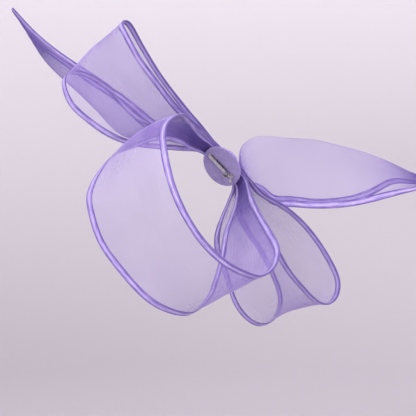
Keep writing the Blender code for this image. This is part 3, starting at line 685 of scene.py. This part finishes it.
def knotWrap():
    # folded cloth wound once round the gathered ends: parallel folds that wander and pinch together underneath
    shape = knotShape
    angle = np.linspace(0, 2 * np.pi, 193)[:-1]
    a, v = np.meshgrid(angle, np.linspace(0, 1, 61), indexing="ij")
    full = shape["narrowest"] + (1 - shape["narrowest"]) * smoothStep(np.sin(a), -0.7, 0.8)
    low, high = shape["span"]
    wander = sum(size * np.sin(count * a + start) for size, count, start in shape["wander"])
    wave = np.abs(np.sin(np.pi * (shape["folds"] * v + wander)))
    ridge = shape["foldHeight"] * (1 - (1 - wave) ** 1.6)
    fine = np.sin(2 * np.pi * (shape["fineFolds"] * v + 3 * wander) + 2 * np.sin(3 * a))
    roll = np.sqrt(np.clip(1 - (2 * v - 1) ** 10, 0, 1))
    swell = shape["swell"] * (1 - (2 * v - 1) ** 2)
    out = 0.35 + (shape["wall"] + ridge + shape["fineHeight"] * fine + swell) * roll
    x = (v - 0.5) * shape["length"] * full + shape["sag"] * np.sin(a * 2 + 0.6) * 0.25
    inward = np.minimum(out, shape["mostInward"])
    y, z = roundedBand(a, shape["halfWidth"] + 0.1 + out, low - 0.1 - inward, high + 0.1 + out)
    outer = np.stack([x, y, z], -1)
    y, z = roundedBand(a[:, ::-1], shape["halfWidth"] + 0.3, low - 0.3, high + 0.3)
    inner = np.stack([x[:, ::-1] * 0.96, y, z], -1)[:, 1:-1]
    ring = np.concatenate([outer, inner], 1)
    overWrap, roundWrap = (
        np.linspace(0, cloth, count + 1) for cloth, count in zip(shape["clothRound"], ring.shape[1::-1])
    )
    uv = np.stack(np.broadcast_arrays(overWrap[None, :], roundWrap[:, None]), -1)
    return surface("gathered_knot", inBase(ring), uv, wrap=True, wrapRows=True)


# ---- base: covered disc and felt lining ----

baseShape = {
    "radius": 30.0,
    "coverFace": 3.8,
    "coverRim": 1.7,
    "coverWall": 0.6,
    "coverRound": 1.0,
    "rimPleats": 24,
    "feltRadius": 30.4,
    "feltDepth": 1.4,
    "feltRound": 0.6,
    "channel": (6.0, 0.5),  # half width and depth of the groove that the clip lies in
}


def turnedGrid(radii, heights, turns=180):  # radius and height pairs turned about the outward axis
    angle = np.linspace(0, 2 * np.pi, turns + 1)
    r, z, _ = np.broadcast_arrays(radii[:, None], heights[:, None], angle)
    return angle, r, z


def baseCover():
    # satin drawn over the disc: flat top, rounded rim, and small pleats where it is pulled under the rim
    shape = baseShape
    top, rim, radius, bend = (shape[key] for key in ("coverFace", "coverRim", "radius", "coverRound"))
    under = top - shape["coverWall"]
    turn = np.linspace(0, np.pi / 2, 9)
    faceR = np.linspace(0.3, radius - 1.2, 24)
    sideZ = np.linspace(top - bend, rim, 5)[1:]
    outerR = np.concatenate([faceR, radius - bend + bend * np.sin(turn), np.full(4, radius)])
    outerZ = np.concatenate([np.full(24, top), top - bend + bend * np.cos(turn), sideZ])
    innerR = np.concatenate([[radius - 0.42, radius - 0.42, radius - 0.9], np.linspace(radius - 1.2, 0.3, 12)])
    innerZ = np.concatenate([[rim, top - 1.0, under], np.full(12, under)])
    angle, r, z = turnedGrid(np.concatenate([outerR, innerR]), np.concatenate([outerZ, innerZ]))
    isOuter = (np.arange(len(r)) < len(outerR))[:, None]
    nearRim = smoothStep(r, radius - 7, radius) * isOuter
    pleat = np.abs(np.sin(shape["rimPleats"] * angle + 0.7 * np.sin(5 * angle)))[None, :] ** 0.7
    faceLift = nearRim * (pleat - 0.6) * 0.22 * (z > rim + 0.2)
    z = z + faceLift + isOuter * 0.08 * np.sin(7 * angle + r * 0.3)
    r = r + nearRim * (pleat - 0.8) * 0.3 * smoothStep(top - z, 0.3, 1.2)
    points = np.stack([r * np.cos(angle), r * np.sin(angle), z], -1)
    return surface("satin_cover", inBase(points[:, :-1]), points[..., :2], wrap=True, capped=True)


def feltLining():
    # thick felt: flat face with a pressed groove for the clip, soft rounded rim, faintly uneven
    shape = baseShape
    radius, depth, bend = shape["feltRadius"], shape["feltDepth"], shape["feltRound"]
    turn = np.linspace(0, np.pi / 2, 7)[1:]
    faceR = np.concatenate([np.linspace(0.3, radius - bend, 46), radius - bend + bend * np.sin(turn)])
    faceZ = np.concatenate([np.zeros(46), bend * (1 - np.cos(turn))])
    backR = np.concatenate([[radius], np.linspace(radius - 0.3, 0.3, 8)])
    backZ = np.concatenate([[depth - 0.3], np.full(8, depth)])
    angle, r, z = turnedGrid(np.concatenate([faceR, backR]), np.concatenate([faceZ, backZ]), 240)
    x, y = r * np.cos(angle), r * np.sin(angle)
    isFace = (np.arange(len(r)) < len(faceR))[:, None]
    half, deep = shape["channel"]
    groove = (1 - smoothStep(np.abs(y), half - 0.25, half + 0.25)) * deep
    uneven = 0.03 * np.sin(1.3 * x + 2 * np.sin(0.7 * y)) * np.sin(1.1 * y + 1.5 * np.sin(0.9 * x))
    z = z + isFace * (groove * (z < deep) + uneven)
    points = np.stack([x, y, z], -1)
    return surface("felt_lining", inBase(points[:, :-1]), points[..., :2], wrap=True, capped=True)


stitchShape = {
    "count": 52,
    "threadRadius": 0.28,
    "lean": 0.05,  # radians round the base between a stitch's two ends
    "unevenness": 0.012,
    # distance from the middle and height of the thread, from the felt's face round the rim to the cover
    "path": (
        (27.5, 0.3), (28.0, -0.1), (29.2, -0.2), (30.3, -0.05),
        (30.8, 0.6), (30.85, 1.4), (30.5, 2.3), (29.9, 2.8),
    ),
    "girth": 1.8,
    "length": 7,
}


def rimStitches():
    # overcast stitches that hold the felt to the cover: a round thread carried along one path, its ends
    # tapered, leaning a little, and repeated round the base
    shape = stitchShape
    share = np.linspace(0, 1, 15)
    path = np.array(shape["path"])
    places = np.linspace(0, 1, len(path))
    line = softened(np.column_stack([np.interp(share, places, column) for column in path.T]), 0.7)
    step = unit(np.gradient(line, axis=0))
    radius = shape["threadRadius"] * np.sqrt(np.clip(1 - (2 * share - 1) ** 8, 0.02, 1))
    around = np.linspace(0, 2 * np.pi, 9)[:-1]
    r = line[:, :1] - step[:, 1:] * np.cos(around) * radius[:, None]
    z = line[:, 1:] + step[:, :1] * np.cos(around) * radius[:, None]
    first = np.linspace(0, 2 * np.pi, shape["count"] + 1)[:-1]
    first = (first + shape["unevenness"] * np.sin(3.7 * np.arange(shape["count"])))[:, None, None]
    turn = first + shape["lean"] * (share[:, None] - 0.5) + np.sin(around) * radius[:, None] / r
    stitches = np.stack([r * np.cos(turn), r * np.sin(turn), z * np.ones_like(turn)], -1)
    girth = np.linspace(0, shape["girth"], 9)
    uv = np.stack(np.broadcast_arrays(girth[None, :], share[:, None] * shape["length"]), -1)
    return surface("rim_stitches", inBase(stitches), uv, wrap=True, capped=True)


coverLook = {"pale": "#B9A5E6", "mid": "#A18BD6", "deep": "#8A73C2", "streaks": (900, 260)}
knotLook = {"pale": "#BBA8EA", "mid": "#9B84D2", "deep": "#7C64B8", "streaks": (1900, 50)}
satin = satinMaterial("satinCover", coverLook)
foldedOrganza = satinMaterial("foldedOrganza", knotLook)
felt = feltMaterial()
thread = threadMaterial()
nickel = metalMaterial("nickelPlatedSteel", "#C9C7CC", 0.24, 0.5)
annealedWire = metalMaterial("bareSteelWire", "#9A9AA0", 0.38, 0.9)
buckram = buckramMaterial()

standFor(knotWrap(), "knot_wrap", foldedOrganza)
standFor(baseCover(), "base_cover", satin)
standFor(feltLining(), "base_lining", felt)
stitches = rimStitches()
stitches.data.materials.append(thread)
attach(stitches, bodyName)
print("knot, base and stitches made")

nodeFinishes = {
    "wire": annealedWire,
    "tack": thread,
    "disc": buckram,
    "jaw": nickel,
    "pin": nickel,
    "spring": annealedWire,
}
for nodeName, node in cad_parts.items():
    for word, finish in nodeFinishes.items():
        if word in nodeName:
            for place in node.material_slots:
                place.material = finish
print("metal, thread and buckram finished")

# ---- camera, light and backdrop ----

studio = {
    "camera": (0.948, -1.244, -0.058),
    "bearing": 38.0,  # degrees that the camera stands round from the front, to the wearer's left
    "lens": 96.14,
    "sensor": 36.0,
    "floor": -0.55,
    "radius": 3.4,
    "bend": 1.6,
    "top": 4.5,
    "wallShadeTints": ("#B9B4BA", "#FCFAFC"),  # painted shade: from darker at the foot of the wall to lighter upwards
    "wallShadeRise": (-0.6, 1.5),  # where the change starts and how high it goes on
    "air": "#F4EFF6",
    "airStrength": 0.82,
}
bearing = math.radians(studio["bearing"])
viewRight = (math.cos(bearing), math.sin(bearing))

cameraData = bpy.data.cameras.new("camera")
cameraData.lens = studio["lens"]
cameraData.sensor_width = studio["sensor"]
camera = bpy.data.objects.new("camera", cameraData)
bpy.context.scene.collection.objects.link(camera)
camera.matrix_world = Matrix(
    (
        (viewRight[0], 0.0, viewRight[1], studio["camera"][0]),
        (viewRight[1], 0.0, -viewRight[0], studio["camera"][1]),
        (0.0, 1.0, 0.0, studio["camera"][2]),
        (0.0, 0.0, 0.0, 1.0),
    )
)
bpy.context.scene.camera = camera


def backdrop():
    # a round floor that curves up into a wall all round: line, quarter circle and line, turned about the middle
    radius, bend, floor, top = (studio[key] for key in ("radius", "bend", "floor", "top"))
    turn = np.linspace(-np.pi / 2, 0, 24)
    reach = np.concatenate([[0.0001, radius * 0.4], radius - bend + bend * np.cos(turn), [radius]])
    height = np.concatenate([[floor, floor], floor + bend + bend * np.sin(turn), [top]])
    angle = np.linspace(0, 2 * np.pi, 97)[:-1]
    reach, height = reach[:, None], height[:, None]
    grid = np.stack(np.broadcast_arrays(reach * np.cos(angle), reach * np.sin(angle), height), -1)
    return surface("backdrop", grid / mm, np.zeros((len(reach), 97, 2)), wrap=True)


wallPiece = backdrop()
wallPaint, wallTree, wallShader = newMaterial("mattPaint", {"Roughness": 0.95, "Specular IOR Level": 0.05})
# painted shade: the wall's colour darkens towards its foot, standing in for less light reaching it there
wallPlace = addNode(wallTree, "SeparateXYZ", {}, addNode(wallTree, "TexCoord", {}).outputs["Object"])
foot, rise = studio["wallShadeRise"]
wallHeight = addNode(wallTree, "Math", plus, wallPlace.outputs["Z"], -foot)
wallHeight = addNode(wallTree, "Math", over, wallHeight, rise)
wallStops = [(share, sRgb(tint)) for share, tint in zip((0.0, 1.0), studio["wallShadeTints"])]
give(wallTree, wallShader, {"Base Color": addNode(wallTree, "ValToRGB", {"stops": wallStops}, wallHeight)})
wallPiece.data.materials.append(wallPaint)


def softLight(name, place, target, size, watts, tint):  # a round lamp at a place, turned to face its target
    data = bpy.data.lights.new(name, "AREA")
    data.shape = "DISK"
    data.size = size
    data.energy = watts
    data.color = sRgb(tint)[:3]
    made = bpy.data.objects.new(name, data)
    bpy.context.scene.collection.objects.link(made)
    away = unit(np.array(place, float) - np.array(target, float))
    side = unit(np.cross([0, 0, 1.0], away))
    rows = np.column_stack([side, np.cross(away, side), away, place])
    made.matrix_world = Matrix([*rows.tolist(), [0.0, 0.0, 0.0, 1.0]])


# key from high on the camera's left, a broad fill from its right and a weak one from behind
softLight("key", (-0.3, -2.1, 1.5), (0, 0, 0), 1.5, 43, "#FFFDFF")
softLight("fill", (2.3, -0.9, 0.5), (0, 0, -0.1), 1.8, 30.5, "#FEFAFF")
softLight("back", (-0.6, 2.2, 1.4), (0, 0, 0), 1.6, 19, "#FEFAFF")
world = bpy.data.worlds.new("studio")
world.use_nodes = True
air = world.node_tree.nodes["Background"]
give(world.node_tree, air, {"Color": sRgb(studio["air"]), "Strength": studio["airStrength"]})
bpy.context.scene.world = world
bpy.context.scene.view_settings.view_transform = "Standard"
